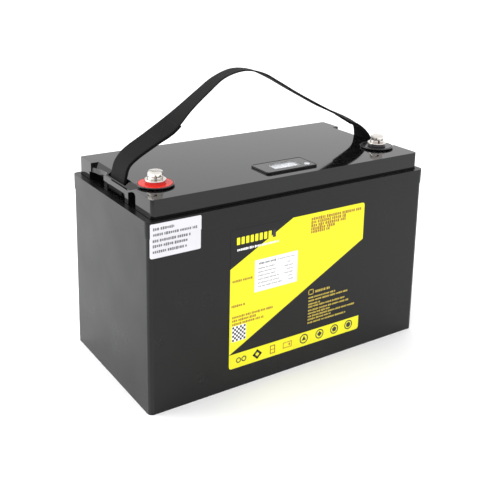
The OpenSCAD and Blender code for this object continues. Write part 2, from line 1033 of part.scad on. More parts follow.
nuts();  // cell_nuts
end_boards();  // end_plates
bands();  // pack_bands
insulating_board();  // top_board
bms_plate();  // bms_board
transistors();  // bms_transistors
heat_sink();  // bms_heat_sink
standoffs();  // bms_standoffs
bms_fixings();  // bms_screws
socket();  // balance_socket
balance_wires();  // balance_leads
probe();  // temperature_probe
lugs();  // cable_lugs
lug_fixings();  // lug_bolts
positive_lead();  // positive_cable
negative_lead();  // negative_cable
bms_lead();  // bms_cable
display_lead();  // display_cable
floor_pad();  // base_pad
end_blocks();  // end_foam
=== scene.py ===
"""Looks of a twelve-volt deep cycle battery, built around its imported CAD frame.

The frame is in metres, +Z up, with the labelled face at -Y and the positive terminal at -X.
Shapes are drawn in millimetres here and scaled once, when their mesh is made.
"""

import json
import math
import random

import bpy
from mathutils import Matrix, Vector


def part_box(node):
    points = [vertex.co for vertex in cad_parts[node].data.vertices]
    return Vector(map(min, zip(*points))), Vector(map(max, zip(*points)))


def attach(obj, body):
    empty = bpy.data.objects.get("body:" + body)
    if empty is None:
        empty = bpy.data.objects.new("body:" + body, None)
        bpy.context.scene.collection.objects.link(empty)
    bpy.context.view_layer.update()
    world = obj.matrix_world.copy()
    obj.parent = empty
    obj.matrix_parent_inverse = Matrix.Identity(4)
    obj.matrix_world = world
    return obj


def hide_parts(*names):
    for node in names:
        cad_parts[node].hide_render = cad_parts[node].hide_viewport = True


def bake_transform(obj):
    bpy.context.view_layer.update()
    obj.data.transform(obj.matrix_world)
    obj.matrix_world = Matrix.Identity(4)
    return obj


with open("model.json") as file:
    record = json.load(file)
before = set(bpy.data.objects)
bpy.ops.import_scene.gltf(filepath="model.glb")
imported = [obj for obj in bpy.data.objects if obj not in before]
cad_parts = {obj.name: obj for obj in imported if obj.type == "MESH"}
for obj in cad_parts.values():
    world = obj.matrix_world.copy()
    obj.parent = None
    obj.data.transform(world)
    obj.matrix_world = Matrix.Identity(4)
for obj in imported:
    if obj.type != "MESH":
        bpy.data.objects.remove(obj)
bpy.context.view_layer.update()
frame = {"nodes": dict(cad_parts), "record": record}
nodes = frame["nodes"]

MM = 0.001


def node_box(name):
    """Lowest and highest corner of a CAD node, in millimetres."""
    low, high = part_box(name)
    return low / MM, high / MM


# ---- Materials ----


# The edge radius below is how far the paler edges reach in, partly rubbed wear and partly a painted
# highlight, and SCREEN_ROW the pitch of the screen's rows.
EDGE_WEAR_AND_HIGHLIGHT_R = 0.7
SCREEN_ROW = 0.4
STRAP_MAP = "strap"
BLACK = (0.0045, 0.0045, 0.0048)


class Kit:
    """One material's node tree, with short calls for the nodes that it needs."""

    def __init__(self, name):
        self.material = bpy.data.materials.new(name)
        self.material.use_nodes = True
        self.tree = self.material.node_tree
        self.shader = self.tree.nodes["Principled BSDF"]
        self.place = self.node("ShaderNodeTexCoord").outputs["Object"]

    def feed(self, socket, value):
        """Links an output to an input, or sets the input. A colour gets an alpha of 1."""
        if isinstance(value, bpy.types.NodeSocket):
            self.tree.links.new(value, socket)
        elif isinstance(value, tuple) and len(value) == 3 and len(socket.default_value) == 4:
            socket.default_value = (*value, 1)
        else:
            socket.default_value = value

    def node(self, kind, values=None, **settings):
        """A new node with its inputs and settings filled in."""
        made = self.tree.nodes.new(kind)
        for key, value in settings.items():
            setattr(made, key, value)
        for key, value in (values or {}).items():
            self.feed(made.inputs[key], value)
        return made

    def set(self, values):
        """Feeds the surface shader, and hands over the finished material."""
        for key, value in values.items():
            self.feed(self.shader.inputs[key], value)
        return self.material

    def noise(self, size, detail, stretch=None):
        """Noise from 0 to 1, with lumps about size millimetres across."""
        place = self.place
        if stretch:
            place = self.node("ShaderNodeMapping", {"Vector": place, "Scale": stretch}).outputs[0]
        values = {"Vector": place, "Scale": 1 / (size * MM), "Detail": detail}
        return self.node("ShaderNodeTexNoise", values).outputs["Fac"]

    def span(self, value, low, high, start=0.0, end=1.0):
        """value from start to end, mapped to low to high and held there."""
        values = {"Value": value, "From Min": start, "From Max": end, "To Min": low, "To Max": high}
        return self.node("ShaderNodeMapRange", values).outputs["Result"]

    def maths(self, operation, a, b=0.0):
        """One step of arithmetic. A step with a single value, such as a sine, leaves b out."""
        return self.node("ShaderNodeMath", {0: a, 1: b}, operation=operation).outputs[0]

    def mix(self, factor, a, b):
        """Colour a at factor 0 and colour b at factor 1."""
        return self.node("ShaderNodeMix", {0: factor, 6: a, 7: b}, data_type="RGBA").outputs[2]

    def bump(self, height, depth):
        """Normal of a surface raised by height, depth millimetres at height 1."""
        values = {"Height": height, "Distance": depth * MM, "Strength": 1.0}
        return self.node("ShaderNodeBump", values).outputs["Normal"]

    def edges(self, radius):
        """1 along edges, within radius millimetres of them, and 0 on flat faces."""
        soft = self.node("ShaderNodeBevel", {"Radius": radius * MM}, samples=4).outputs["Normal"]
        flat = self.node("ShaderNodeNewGeometry").outputs["Normal"]
        same = self.node("ShaderNodeVectorMath", {0: soft, 1: flat}, operation="DOT_PRODUCT")
        return self.span(same.outputs["Value"], 1.0, 0.0, 0.80, 0.99)


def moulded(name, colour, roughness, ior=1.5, grain=0.012, edge_wear_and_highlight=0.5):
    """Moulded plastic: fine grain, patchy sheen, and paler edges that are partly rubbed wear and
    partly a painted highlight.
    """
    k = Kit(name)
    patch = k.noise(40, 4)
    # Paler edges: partly rubbed wear, partly a painted highlight where the edges catch the light.
    worn_and_lit_edges = k.maths("MULTIPLY", k.edges(EDGE_WEAR_AND_HIGHLIGHT_R), k.span(k.noise(7, 5), 0.2, 1.0, 0.40, 0.62))
    worn_and_lit_edges = k.maths("MULTIPLY", worn_and_lit_edges, edge_wear_and_highlight)
    wear_and_highlight_tint = tuple(min(1.0, c * 1.8 + 0.03) for c in colour)
    darker = tuple(c * 0.86 for c in colour)
    body = k.mix(k.span(patch, 0.0, 1.0, 0.35, 0.65), colour, darker)
    rough = k.span(patch, roughness * 0.88, roughness * 1.14, 0.3, 0.7)
    rough = k.maths("ADD", rough, k.maths("MULTIPLY", worn_and_lit_edges, 0.12))
    return k.set({
        "Base Color": k.mix(worn_and_lit_edges, body, wear_and_highlight_tint),
        "Roughness": rough,
        "IOR": ior,
        "Normal": k.bump(k.noise(0.45, 2), grain),
    })


def metal(name, colour, roughness, tarnish=0.25, brushed=(1, 1, 1)):
    """Plated or bare metal: fine drawn marks, and tarnish in broad patches."""
    k = Kit(name)
    marks = k.noise(0.5, 3, brushed)
    stain = k.span(k.noise(5, 4), 0.0, tarnish, 0.45, 0.75)
    dull = tuple(c * 0.62 for c in colour)
    return k.set({
        "Base Color": k.mix(stain, colour, dull),
        "Metallic": 1.0,
        "Roughness": k.maths("ADD", k.span(marks, roughness * 0.7, roughness * 1.3), stain),
        "Normal": k.bump(marks, 0.004),
    })


def soft_rubber(name, colour, roughness=0.65, lumps=1.2, depth=0.03):
    """Rubber, foam or cable jacket, with a dull uneven skin."""
    k = Kit(name)
    lump = k.noise(lumps, 4)
    darker = tuple(c * 0.7 for c in colour)
    return k.set({
        "Base Color": k.mix(lump, colour, darker),
        "Roughness": k.span(lump, roughness * 0.9, min(1.0, roughness * 1.15)),
        "Normal": k.bump(lump, depth),
    })


def ink(name, colour, roughness, ior=1.5):
    """Print on vinyl film: even colour, faint grain and a soft satin top."""
    k = Kit(name)
    grain = k.noise(0.3, 2)
    broad = k.noise(25, 3)
    darker = tuple(c * 0.94 for c in colour)
    return k.set({
        "Base Color": k.mix(k.span(broad, 0.0, 1.0, 0.35, 0.65), colour, darker),
        "Roughness": k.span(grain, roughness * 0.85, roughness * 1.15),
        "IOR": ior,
        "Normal": k.bump(grain, 0.003),
    })


def woven(name, colour, thread):
    """Nylon webbing. The weave follows the strap map, which is in millimetres."""
    k = Kit(name)
    where = k.node("ShaderNodeUVMap", uv_map=STRAP_MAP).outputs["UV"]
    split = k.node("ShaderNodeSeparateXYZ", {0: where})
    across = k.maths("SINE", k.maths("MULTIPLY", split.outputs["X"], math.pi / thread))
    along = k.maths("SINE", k.maths("MULTIPLY", split.outputs["Y"], math.pi / thread))
    crossing = k.span(k.maths("MULTIPLY", across, along), 0.0, 1.0, -1.0, 1.0)
    fibre = k.noise(0.25, 3)
    rise = k.maths("ADD", crossing, k.maths("MULTIPLY", fibre, 0.5))
    # The low points of the weave get a darker colour: painted shade in the hollows between the
    # yarns.
    darker = tuple(c * 0.55 for c in colour)
    return k.set({
        "Base Color": k.mix(k.span(rise, 1.0, 0.0, 0.1, 0.9), colour, darker),
        "Roughness": k.span(fibre, 0.62, 0.85),
        "Specular IOR Level": 0.16,
        "Normal": k.bump(rise, 0.10),
    })


def clear_pane(name):
    """Thin clear window: mostly see-through, with a faint smear in its shine."""
    k = Kit(name)
    smear = k.noise(8, 4)
    k.material.surface_render_method = "BLENDED"
    return k.set({
        "Base Color": (0.82, 0.84, 0.86),
        "Alpha": k.span(smear, 0.16, 0.24, 0.3, 0.7),
        "Roughness": k.span(smear, 0.04, 0.10, 0.3, 0.7),
        "Normal": k.bump(smear, 0.002),
    })


def screen_face(name):
    """Unlit liquid crystal: silver grey with fine rows, and a painted gradient of light that makes
    it brighter to one side.
    """
    k = Kit(name)
    split = k.node("ShaderNodeSeparateXYZ", {0: k.place})
    low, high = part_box("display_screen")
    # Painted light: the screen's colour brightens from its low X end to its high X end.
    side = k.span(split.outputs["X"], 0.0, 1.0, low.x, high.x)
    rows = k.maths("SINE", k.maths("MULTIPLY", split.outputs["Y"], 2 * math.pi / (SCREEN_ROW * MM)))
    tone = k.mix(side, (0.74, 0.75, 0.80), (0.90, 0.91, 0.94))
    tone = k.mix(k.span(rows, 0.0, 0.08, -1.0, 1.0), tone, (0.2, 0.2, 0.22))
    return k.set({"Base Color": tone, "Roughness": k.span(k.noise(1, 2), 0.28, 0.36)})


def circuit(name):
    """Green board with a woven glass base and tracks under the solder mask."""
    k = Kit(name)
    tracks = k.span(k.noise(3, 1, (1, 4, 1)), 0.0, 1.0, 0.50, 0.54)
    weave = k.noise(0.6, 1, (1, 3, 3))
    return k.set({
        "Base Color": k.mix(tracks, (0.02, 0.16, 0.06), (0.05, 0.30, 0.12)),
        "Roughness": k.span(weave, 0.30, 0.45),
        "Normal": k.bump(tracks, 0.03),
    })


def fibre(name):
    """Pale glass-fibre sheet with a visible cross weave."""
    k = Kit(name)
    weave = k.maths("ADD", k.noise(0.8, 1, (1, 5, 5)), k.noise(0.8, 1, (5, 1, 1)))
    light = k.span(weave, 0.0, 1.0, 0.7, 1.3)
    return k.set({
        "Base Color": k.mix(light, (0.60, 0.53, 0.28), (0.70, 0.64, 0.38)),
        "Roughness": k.span(weave, 0.40, 0.60, 0.7, 1.3),
        "Normal": k.bump(weave, 0.02),
    })


case_black = moulded("case_black", BLACK, 0.30, ior=1.35)
lid_black = moulded("lid_black", BLACK, 0.06, ior=1.42, grain=0.002)
trim_black = moulded("trim_black", (0.010, 0.010, 0.011), 0.14, grain=0.004)
dark_plastic = moulded("dark_plastic", (0.02, 0.02, 0.022), 0.40)
red_gloss = moulded("red_gloss", (0.64, 0.028, 0.020), 0.20, ior=1.25, edge_wear_and_highlight=0.1)
white_gloss = moulded("white_gloss", (0.66, 0.67, 0.69), 0.20, edge_wear_and_highlight=0.1)
film_black = ink("film_black", BLACK, 0.30, ior=1.35)
film_white = ink("film_white", (0.65, 0.645, 0.68), 0.50)
nickel = metal("nickel", (0.74, 0.70, 0.66), 0.16, 0.16)
steel = metal("steel", (0.62, 0.62, 0.63), 0.30, brushed=(1, 6, 1))
brass = metal("brass", (0.78, 0.58, 0.26), 0.28)
copper = metal("copper", (0.75, 0.37, 0.20), 0.30, 0.4)
aluminium = metal("aluminium", (0.78, 0.79, 0.80), 0.35, brushed=(1, 8, 1))
rubber = soft_rubber("rubber", (0.012, 0.012, 0.012))
foam = soft_rubber("foam", (0.06, 0.06, 0.065), 0.85, 0.8, 0.15)
red_jacket = soft_rubber("red_jacket", (0.60, 0.02, 0.015), 0.42, 6, 0.05)
black_jacket = soft_rubber("black_jacket", (0.015, 0.015, 0.015), 0.45, 6, 0.05)
cell_sleeve = moulded("cell_sleeve", (0.03, 0.12, 0.42), 0.28, grain=0.02, edge_wear_and_highlight=0.2)
webbing_black = woven("webbing_black", (0.0035, 0.0035, 0.0033), 0.9)
thread_black = soft_rubber("thread_black", (0.006, 0.006, 0.006), 0.8, 0.3, 0.05)
pane = clear_pane("pane")
screen_grey = screen_face("screen_grey")
board_green = circuit("board_green")
fibre_pale = fibre("fibre_pale")

SLOT_MATERIALS = {
    "abs_black": case_black,
    "webbing": webbing_black,
    "label_print": film_black,
    "label_white": film_white,
    "red_plastic": red_gloss,
    "black_plastic": trim_black,
    "nickel": nickel,
    "brass": brass,
    "steel": steel,
    "copper": copper,
    "rubber": rubber,
    "clear_window": pane,
    "screen": screen_grey,
    "white_plastic": white_gloss,
    "circuit_board": board_green,
    "cell_can": cell_sleeve,
    "fibre_board": fibre_pale,
    "aluminium": aluminium,
    "foam": foam,
    "red_cable": red_jacket,
    "black_cable": black_jacket,
}
NODE_MATERIALS = {
    "lid": lid_black,
    "button_switch": dark_plastic,
    "bms_transistors": dark_plastic,
    "pack_bands": dark_plastic,
}


def paint_frame():
    """Gives every CAD node the finish of its slot in the record."""
    for part in frame["record"]["subparts"]:
        name = part["node"]
        slot_name = part.get("material_slot") or part.get("material")
        slots = nodes[name].data.materials
        slots.clear()
        slots.append(NODE_MATERIALS.get(name, SLOT_MATERIALS[slot_name]))


# ---- Edges of the CAD nodes ----

# Width of the rounding on each node. JOIN is the gap that its seams are welded over.
EDGE_WIDTHS = {
    "case": 0.4,
    "lid": 0.45,
    "positive_collar": 0.8,
    "negative_collar": 0.8,
    "positive_disc": 0.3,
    "negative_disc": 0.3,
    "positive_flat_washer": 0.35,
    "negative_flat_washer": 0.35,
    "positive_spring_washer": 0.3,
    "negative_spring_washer": 0.3,
    "positive_post": 0.3,
    "negative_post": 0.3,
    "display_bezel": 0.7,
    "display_button": 0.2,
    "strap_rods": 0.4,
}
JOIN = 0.002
BEVEL_STEPS = 2
SHARP = math.radians(35)


def round_edges(name, width):
    """Joins a CAD node's faces along their seams, then rounds its sharp edges."""
    weld = nodes[name].modifiers.new("join_faces", "WELD")
    weld.merge_threshold = JOIN * MM
    bevel = nodes[name].modifiers.new("round_edges", "BEVEL")
    bevel.width = width * MM
    bevel.segments = BEVEL_STEPS
    bevel.limit_method = "ANGLE"
    bevel.angle_limit = SHARP
    bevel.harden_normals = True


# ---- Making pieces ----


def make_piece(name, points, faces, material, slot_name, smooth=True):
    """An object from points in millimetres. It still has to ride on a body."""
    mesh = bpy.data.meshes.new(name)
    mesh.from_pydata([Vector(p) * MM for p in points], [], faces)
    mesh.materials.append(material)
    mesh.polygons.foreach_set("use_smooth", [smooth] * len(mesh.polygons))
    piece = bpy.data.objects.new(name, mesh)
    bpy.context.scene.collection.objects.link(piece)
    return piece


def lathe(rings):
    """Points and faces of a closed form from rings with equal counts of points."""
    turn = len(rings[0])
    points = [p for ring in rings for p in ring]
    faces = []
    for row in range(len(rings) - 1):
        for j in range(turn):
            a, b = row * turn + j, row * turn + (j + 1) % turn
            faces.append((a, b, b + turn, a + turn))
    last = (len(rings) - 1) * turn
    faces.append(tuple(reversed(range(turn))))
    faces.append(tuple(last + j for j in range(turn)))
    return points, faces


# ---- Carry strap ----

# LAYER is half the distance between the layers of a doubled strap, PICK the pitch of the weave
# along it, ACROSS its columns from side to side, and WEAVE_RISE half the height of the weave.
# The sewn-back tails end at X TAIL_LEFT and TAIL_RIGHT.
WEB_W = 30
WEB_T = 1.5
WEB_CORNER = 0.71
LAYER = 0.8
PICK = 0.9
WEAVE_RISE = 0.045
ACROSS = 26
TAIL_LEFT = -93
TAIL_RIGHT = 120

# The turn round a rod, measured from the rod's axis: its inner radius, the point where it starts
# to narrow, the height where the layers meet, and the height that they are parallel from.
TURN_R = 2.3
NECK = (1.2, 5.6)
LAYERS_MEET = 8.2
LAYERS_CLEAR = 8.3
TURN_STEPS = 4

# The way up through the lid, measured from the lid's top, and the arch above it. Each knot of
# the arch holds X, Z and how far the far edge stands out from the near edge.
SLOT_BELOW = 5
SLOT_ABOVE = 3
SLOT_LEAN = 1.4
END_TWIST = 3
ARCH_STEPS = 30
ARCH_KNOTS = [
    (-147.5, 217, 0), (-138, 225.5, 1.8), (-120, 235.5, 2.4), (-100, 246.5, 3.4),
    (-80, 262.5, -2.3), (-60, 277.5, -4.5), (-42, 289.5, -5.4), (-20, 295.4, -2.9),
    (2, 292, 0), (22, 282.5, 2.2), (45, 269.5, 2.7), (70, 256, 2.4), (95, 243, 2.1),
    (118, 232, 5.0), (134, 225, 4.5), (146, 217, 6.5),
]


def smooth_line(knots, steps):
    """Points on a smooth curve through the knots."""
    line = []
    last = len(knots) - 1
    for i in range(last):
        a, b = knots[max(i - 1, 0)], knots[i]
        c, d = knots[i + 1], knots[min(i + 2, last)]
        for s in range(steps):
            t = s / steps
            line.append(
                0.5 * (2 * b + (c - a) * t + (2 * a - 5 * b + 4 * c - d) * t * t
                       + (3 * b - a - 3 * c + d) * t * t * t)
            )
    return line + [knots[-1]]


def even_line(line, pitch):
    """The same line with its points evenly spaced, about pitch apart."""
    lengths = [0.0]
    for a, b in zip(line, line[1:]):
        lengths.append(lengths[-1] + (b - a).length)
    count = max(2, round(lengths[-1] / pitch))
    even, i = [], 0
    for s in range(count + 1):
        want = lengths[-1] * s / count
        while i < len(line) - 2 and lengths[i + 1] < want:
            i += 1
        gap = max(lengths[i + 1] - lengths[i], 1e-9)
        even.append(line[i].lerp(line[i + 1], (want - lengths[i]) / gap))
    return even


def sides(line):
    """Unit normal at each point of a line, to the left of its direction, with no twist."""
    found = []
    for i in range(len(line)):
        along = line[min(i + 1, len(line) - 1)] - line[max(i - 1, 0)]
        found.append(Vector((-along.y, along.x, 0, 0)).normalized())
    return found


def strap_centre():
    """Middle line of the strap over the lid, between its two rods.

    Each point holds X and Z, and how far the strap's far edge stands out from its near edge
    there, again in X and Z, because the strap is a little twisted.
    """
    low, high = node_box("strap_rods")
    top = node_box("lid")[1].z
    rod_x = high.x - (high.z - low.z) / 2
    rod_z = (low.z + high.z) / 2
    over = (rod_x - SLOT_LEAN, top + SLOT_ABOVE)
    rise = [(rod_x, rod_z, 0), (rod_x, top - SLOT_BELOW, 0), (*over, 0)]
    fall = [(*over, END_TWIST)] + rise[1::-1]
    knots = [(-x, z, twist) for x, z, twist in rise] + ARCH_KNOTS + fall
    line = [Vector((*p, 0)) for p in smooth_line([Vector(p) for p in knots], ARCH_STEPS)]
    centre = [Vector((p.x, p.y, n.x * p.z, n.y * p.z)) for p, n in zip(line, sides(line))]
    return centre, Vector((rod_x, rod_z))


def rod_loop(rod, side):
    """The turn of webbing under a rod, from its inner side round to its outer side."""
    reach = TURN_R + LAYER
    turn = [(math.cos(a) * reach, math.sin(a) * reach)
            for a in (math.radians(d) for d in range(40, -221, -20))]
    way_in = [(LAYER, LAYERS_MEET), NECK]
    way_out = [(-x, z) for x, z in reversed(way_in)]
    points = [Vector((rod.x * side - side * x, rod.y + z, 0, 0))
              for x, z in way_in + turn + way_out]
    return smooth_line(points, TURN_STEPS)


def strap_path():
    """One length of webbing: tail, turn under the left rod, arch, right rod, tail."""
    centre, rod = strap_centre()
    normal = sides(centre)
    clear = rod.y + LAYERS_CLEAR
    outer = [p + n * LAYER for p, n in zip(centre, normal) if p.y > clear]
    inner = [p - n * LAYER for p, n in zip(centre, normal) if p.y > clear]
    left = [p for p in inner if p.x < TAIL_LEFT]
    right = [p for p in inner if p.x > TAIL_RIGHT]
    path = left[::-1] + rod_loop(rod, -1) + outer + rod_loop(rod, 1)[::-1] + right[::-1]
    return even_line(path, PICK)


def webbing_section():
    """Outline across the webbing: offset along Y, offset along the normal, weave column."""
    half, t = WEB_W / 2, WEB_T / 2
    flat = half - t
    corner = t * WEB_CORNER
    top = [(-flat + 2 * flat * i / ACROSS, t, i) for i in range(ACROSS + 1)]
    edge = [(flat + corner, corner, 0), (half, 0.0, 1), (flat + corner, -corner, 0)]
    bottom = [(-y, -n, c + 1) for y, n, c in top]
    far = [(-y, -n, c) for y, n, c in edge]
    return top + edge + bottom + far


def weave_points(path, section):
    """Every point of the webbing, row by row, with its place across and along the strap."""
    points, where = [], []
    run = 0.0
    for row, (p, n) in enumerate(zip(path, sides(path))):
        if row:
            run += (p - path[row - 1]).length
        for y, off, column in section:
            weave = WEAVE_RISE * (1 if (row + column) % 2 else -1)
            lift = off + math.copysign(weave, off) * (1 if weave > 0 else -1)
            share = y / WEB_W
            points.append((p.x + p.z * share + n.x * lift, y, p.y + p.w * share + n.y * lift))
            where.append((y, run))
    return points, where


def build_webbing():
    """The whole strap as one woven length, from tail to tail."""
    path = strap_path()
    section = webbing_section()
    m = len(section)
    points, where = weave_points(path, section)
    faces = []
    for row in range(len(path) - 1):
        for j in range(m):
            a, b = row * m + j, row * m + (j + 1) % m
            faces.append((a, a + m, b + m, b))
    last = (len(path) - 1) * m
    faces.append(tuple(range(m)))
    faces.append(tuple(last + j for j in reversed(range(m))))
    piece = make_piece("carry_webbing", points, faces, webbing_black, "webbing")
    layer = piece.data.uv_layers.new(name=STRAP_MAP)
    for loop in piece.data.loops:
        layer.data[loop.index].uv = where[loop.vertex_index]
    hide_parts("carry_strap", "strap_loop_left", "strap_loop_right")
    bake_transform(piece)


# STITCH_BOX holds half the box's width and its near and far end, from the tail's end.
# STITCH_SHAPE holds a share of the stitch's length and its thickness there.
STITCH_BOX = (11.5, 3, 27)
STITCH_PITCH = 3.0
STITCH_L = 2.3
STITCH_W = 0.30
STITCH_H = 0.22
STITCH_RISE = 0.25
STITCH_SIDES = 6
STITCH_SHAPE = [(0.0, 0.25), (0.3, 1.0), (0.7, 1.0), (1.0, 0.25)]
TAIL_PITCH = 0.5


def stitch_rows():
    """Start and end of each sewn row: offset across the strap, distance from the tail's end."""
    half, near, far = STITCH_BOX
    outline = corners(-half, near, half, far)
    rows = list(zip(outline, outline[1:] + outline[:1]))
    return rows + [(outline[0], outline[2]), (outline[1], outline[3])]


def tail_surface(line, normal, face):
    """Maps across, along and height above one face of the doubled strap to a point."""
    half = face * (LAYER + WEB_T / 2)

    def at(across, along, height):
        i = min(int(along / TAIL_PITCH), len(line) - 2)
        p = line[i].lerp(line[i + 1], along / TAIL_PITCH - i)
        out = p + normal[i] * (half + face * height)
        share = across / WEB_W
        return out.x + out.z * share, across, out.y + out.w * share

    return at


def add_stitch(points, faces, at, start, end):
    """One raised stitch with pointed ends, lying on a face of the strap."""
    run = (Vector(end) - Vector(start)).normalized()
    width = Vector((-run.y, run.x))
    rings = []
    for share, size in STITCH_SHAPE:
        middle = Vector(start).lerp(Vector(end), share)
        ring = []
        for a in (2 * math.pi * j / STITCH_SIDES for j in range(STITCH_SIDES)):
            spot = middle + width * math.cos(a) * STITCH_W * size
            ring.append(at(spot.x, spot.y, (math.sin(a) + STITCH_RISE) * STITCH_H * size))
        rings.append(ring)
    base = len(points)
    added, skin = lathe(rings)
    points.extend(added)
    faces.extend(tuple(base + i for i in face) for face in skin)


def build_stitches():
    """Box and cross of stitching that holds each sewn-back tail."""
    centre = strap_centre()[0]
    points, faces = [], []
    ends = ([p for p in centre if p.x < TAIL_LEFT][::-1], [p for p in centre if p.x > TAIL_RIGHT])
    for end, flip in zip(ends, (-1, 1)):
        line = even_line(end, TAIL_PITCH)
        normal = [n * flip for n in sides(line)]
        for face in (-1, 1):
            at = tail_surface(line, normal, face)
            for start, stop in stitch_rows():
                gap = Vector(stop) - Vector(start)
                count = int(gap.length / STITCH_PITCH)
                step = gap.normalized() * (gap.length / count)
                for i in range(count):
                    a = Vector(start) + step * i
                    add_stitch(points, faces, at, a, a + step.normalized() * STITCH_L)
    piece = make_piece("strap_stitching", points, faces, thread_black, "webbing")
    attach(piece, "strap")


# ---- Terminal bolts ----

# The head, with heights above its underside. FOOT_RINGS holds radius and height of the washer
# face's edge, and CORNER_EASE how far the upper edge of the flats is eased inward and down.
HEX_AF = 13
HEAD_H = 5.3
HEAD_TURN = math.radians(-7)
HEAD_DOME = 0.004
CHAMFER_R = 5.8
CHAMFER_SLOPE = 0.62
FOOT_RINGS = ((6.1, 0.0), (6.6, 0.18))
FLATS_FROM = 0.75
CORNER_EASE = (0.12, 0.2)
CROWN_RADII = (5.95, 5.65, 4.0, 1.5)
CREASE = math.radians(32)

# The shank and its thread, below the head.
BOLT_L = 16
SHANK_R = 3.92
ROOT_R = 3.35
TIP_R = 2.75
THREAD_FROM = -15.4
THREAD_TO = -0.7
NECK_Z = -0.5
PITCH = 1.25
TURN = 72


def crown(r):
    """Height of the head's top at radius r: nearly flat, then chamfered down to the corners."""
    return HEAD_H - HEAD_DOME * r * r - CHAMFER_SLOPE * max(0.0, r - CHAMFER_R)


def flat_at(a):
    """Radius of the hexagon at angle a."""
    return HEX_AF / 2 / math.cos(a % (math.pi / 3) - math.pi / 6)


def thread_at(a, z):
    """Radius of the thread's helix at angle a and height z."""
    wave = abs(((z / PITCH - a / (2 * math.pi)) % 1.0) - 0.5) * 2
    return ROOT_R + (SHANK_R - ROOT_R) * wave


def bolt_rings():
    """Rings of a hexagon bolt from the tip of its thread up to the middle of its head."""
    angles = [2 * math.pi * j / TURN for j in range(TURN)]
    flats = [flat_at(a) for a in angles]

    def ring(radii, heights):
        return [(r * math.cos(a), r * math.sin(a), z)
                for a, r, z in zip(angles, radii, heights)]

    def round_ring(radius, height):
        return ring([radius] * TURN, [height] * TURN)

    rings = [round_ring(TIP_R, -BOLT_L)]
    z = THREAD_FROM
    while z < THREAD_TO:
        rings.append(ring([thread_at(a, z) for a in angles], [z] * TURN))
        z += PITCH / 4
    rings.append(round_ring(ROOT_R, NECK_Z))
    rings.append(round_ring(SHANK_R, 0.0))
    for radius, height in FOOT_RINGS:
        rings.append(ring([min(r, radius) for r in flats], [height] * TURN))
    rings.append(ring(flats, [FLATS_FROM] * TURN))
    inward, down = CORNER_EASE
    rings.append(ring(flats, [crown(r) - down for r in flats]))
    rings.append(ring([r - inward for r in flats], [crown(r - inward) for r in flats]))
    for radius in CROWN_RADII:
        rings.append(round_ring(radius, crown(radius)))
    return rings


def build_bolt(side):
    """One terminal bolt, with its thread and its hexagon head."""
    low, high = node_box(side + "_bolt")
    seat = Vector(((low.x + high.x) / 2, (low.y + high.y) / 2, low.z + BOLT_L))
    spin = Matrix.Rotation(HEAD_TURN, 3, "Z")
    points, faces = lathe(bolt_rings())
    points = [seat + spin @ Vector(p) for p in points]
    piece = make_piece(side + "_bolt_turned", points, faces, nickel, "nickel")
    piece.data.set_sharp_from_angle(angle=CREASE)
    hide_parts(side + "_bolt")
    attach(piece, side + "_screw")


# ---- Print on the labels and the screen ----

# One layer of ink is INK_T thick, and reaches INK_SUNK into the face.
INK_T = 0.03
INK_SUNK = 0.01
RING_PARTS = 24
EASE_STEPS = 5


class Sheet:
    """Thin shapes of ink on a flat face. Each ink becomes one piece."""

    def __init__(self, name, origin, right, up):
        self.name = name
        self.origin, self.right, self.up = Vector(origin), Vector(right), Vector(up)
        self.out = self.right.cross(self.up)
        self.inks = {}

    def prism(self, ink_name, outline, layer=1):
        """A filled outline, listed anticlockwise as seen from outside."""
        points, faces = self.inks.setdefault(ink_name, ([], []))
        base, n = len(points), len(outline)
        for height in (-INK_SUNK, layer * INK_T):
            for u, v in outline:
                points.append(self.origin + self.right * u + self.up * v + self.out * height)
        faces.append(tuple(base + n + i for i in range(n)))
        faces.append(tuple(base + i for i in reversed(range(n))))
        for i in range(n):
            j = (i + 1) % n
            faces.append((base + i, base + j, base + n + j, base + n + i))

    def box(self, ink_name, u0, v0, u1, v1, layer=1, r=0.0):
        """A rectangle, with its corners rounded by r."""
        outline = corners(u0, v0, u1, v1)
        self.prism(ink_name, eased(outline, [r] * 4) if r else outline, layer)

    def stroke(self, ink_name, a, b, width, layer=1):
        """A straight line from a to b."""
        along = (Vector(b) - Vector(a)).normalized() * (width / 2)
        off = Vector((-along.y, along.x))
        a, b = Vector(a) - along, Vector(b) + along
        self.prism(ink_name, [tuple(p) for p in (a - off, b - off, b + off, a + off)], layer)

    def loop(self, ink_name, outline, width, layer):
        """A closed line along an outline."""
        for a, b in zip(outline, outline[1:] + outline[:1]):
            self.stroke(ink_name, a, b, width, layer)

    def ring(self, ink_name, u, v, outer, inner, layer):
        """A ring, built from short sectors."""
        for i in range(RING_PARTS):
            a = 2 * math.pi * i / RING_PARTS
            b = 2 * math.pi * (i + 1) / RING_PARTS
            self.prism(ink_name, [
                (u + inner * math.cos(a), v + inner * math.sin(a)),
                (u + outer * math.cos(a), v + outer * math.sin(a)),
                (u + outer * math.cos(b), v + outer * math.sin(b)),
                (u + inner * math.cos(b), v + inner * math.sin(b)),
            ], layer)

    def words(self, ink_name, u0, u1, v, height, layer, seed):
        """Plain upright bars in groups, which stand for a line of small print."""
        rng = random.Random(seed)
        u, left = u0, rng.randint(3, 8)
        while u < u1 - 0.3 * height:
            stop = min(u1, u + height * rng.uniform(0.45, 0.80))
            half = height * rng.choice((0.42, 0.50, 0.50, 0.58))
            self.box(ink_name, u, v - half, stop, v + half, layer)
            left -= 1
            u = stop + height * (0.22 if left else 0.60)
            left = left or rng.randint(3, 8)

    def done(self, body):
        """Makes the pieces and has them ride on a body."""
        for ink_name, (points, faces) in self.inks.items():
            piece = make_piece(f"{self.name}_{ink_name}", points, faces, INKS[ink_name],
                               INK_SLOTS.get(ink_name, "label_print"), smooth=False)
            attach(piece, body)


def corners(u0, v0, u1, v1):
    """A rectangle's outline, from its lower left corner to its upper right one."""
    return [(u0, v0), (u1, v0), (u1, v1), (u0, v1)]


